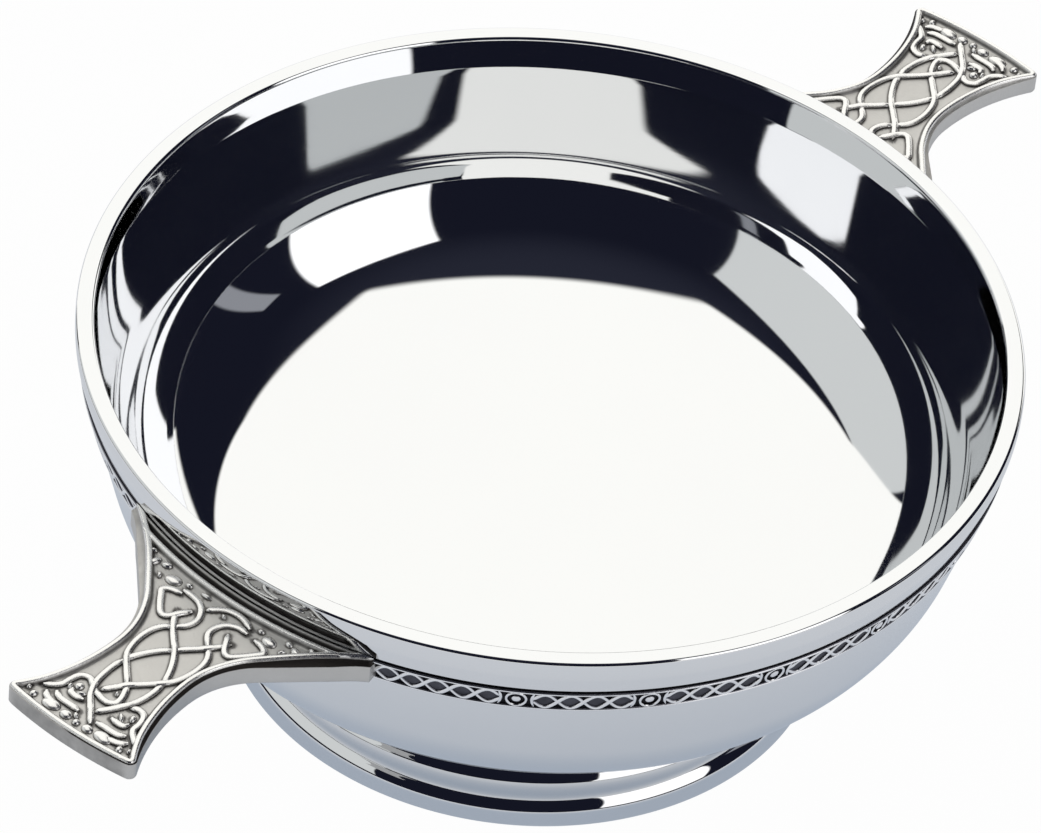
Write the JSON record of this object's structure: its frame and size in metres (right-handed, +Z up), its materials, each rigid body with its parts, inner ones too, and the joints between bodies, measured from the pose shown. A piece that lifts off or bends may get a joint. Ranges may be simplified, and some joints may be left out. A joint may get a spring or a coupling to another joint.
{
  "type": "quaich",
  "caption": "Shallow two-handled drinking bowl on a flared foot ring, with flat cast lug handles in interlaced relief and a plaited ornamental band under the rim.",
  "frame": {"origin": "on the table under the middle of the bowl", "axes": "+Z up along the bowl's axis, X along the two handles"},
  "size_m": [0.193, 0.127, 0.052],
  "materials": {
    "polished_pewter": "mirror polished",
    "cast_pewter": "satin cast relief with dark antiqued recesses",
    "antiqued_pewter": "embossed strip, polished high points over a dark ground",
    "solder": "dull run solder"
  },
  "bodies": {
    "root": {"bowl": "polished_pewter", "foot": "polished_pewter", "foot_solder": "solder", "handle_left": "cast_pewter", "handle_right": "cast_pewter", "handle_solder_left": "solder", "handle_solder_right": "solder", "band_front": "antiqued_pewter", "band_rear": "antiqued_pewter"}
  },
  "joints": []
}
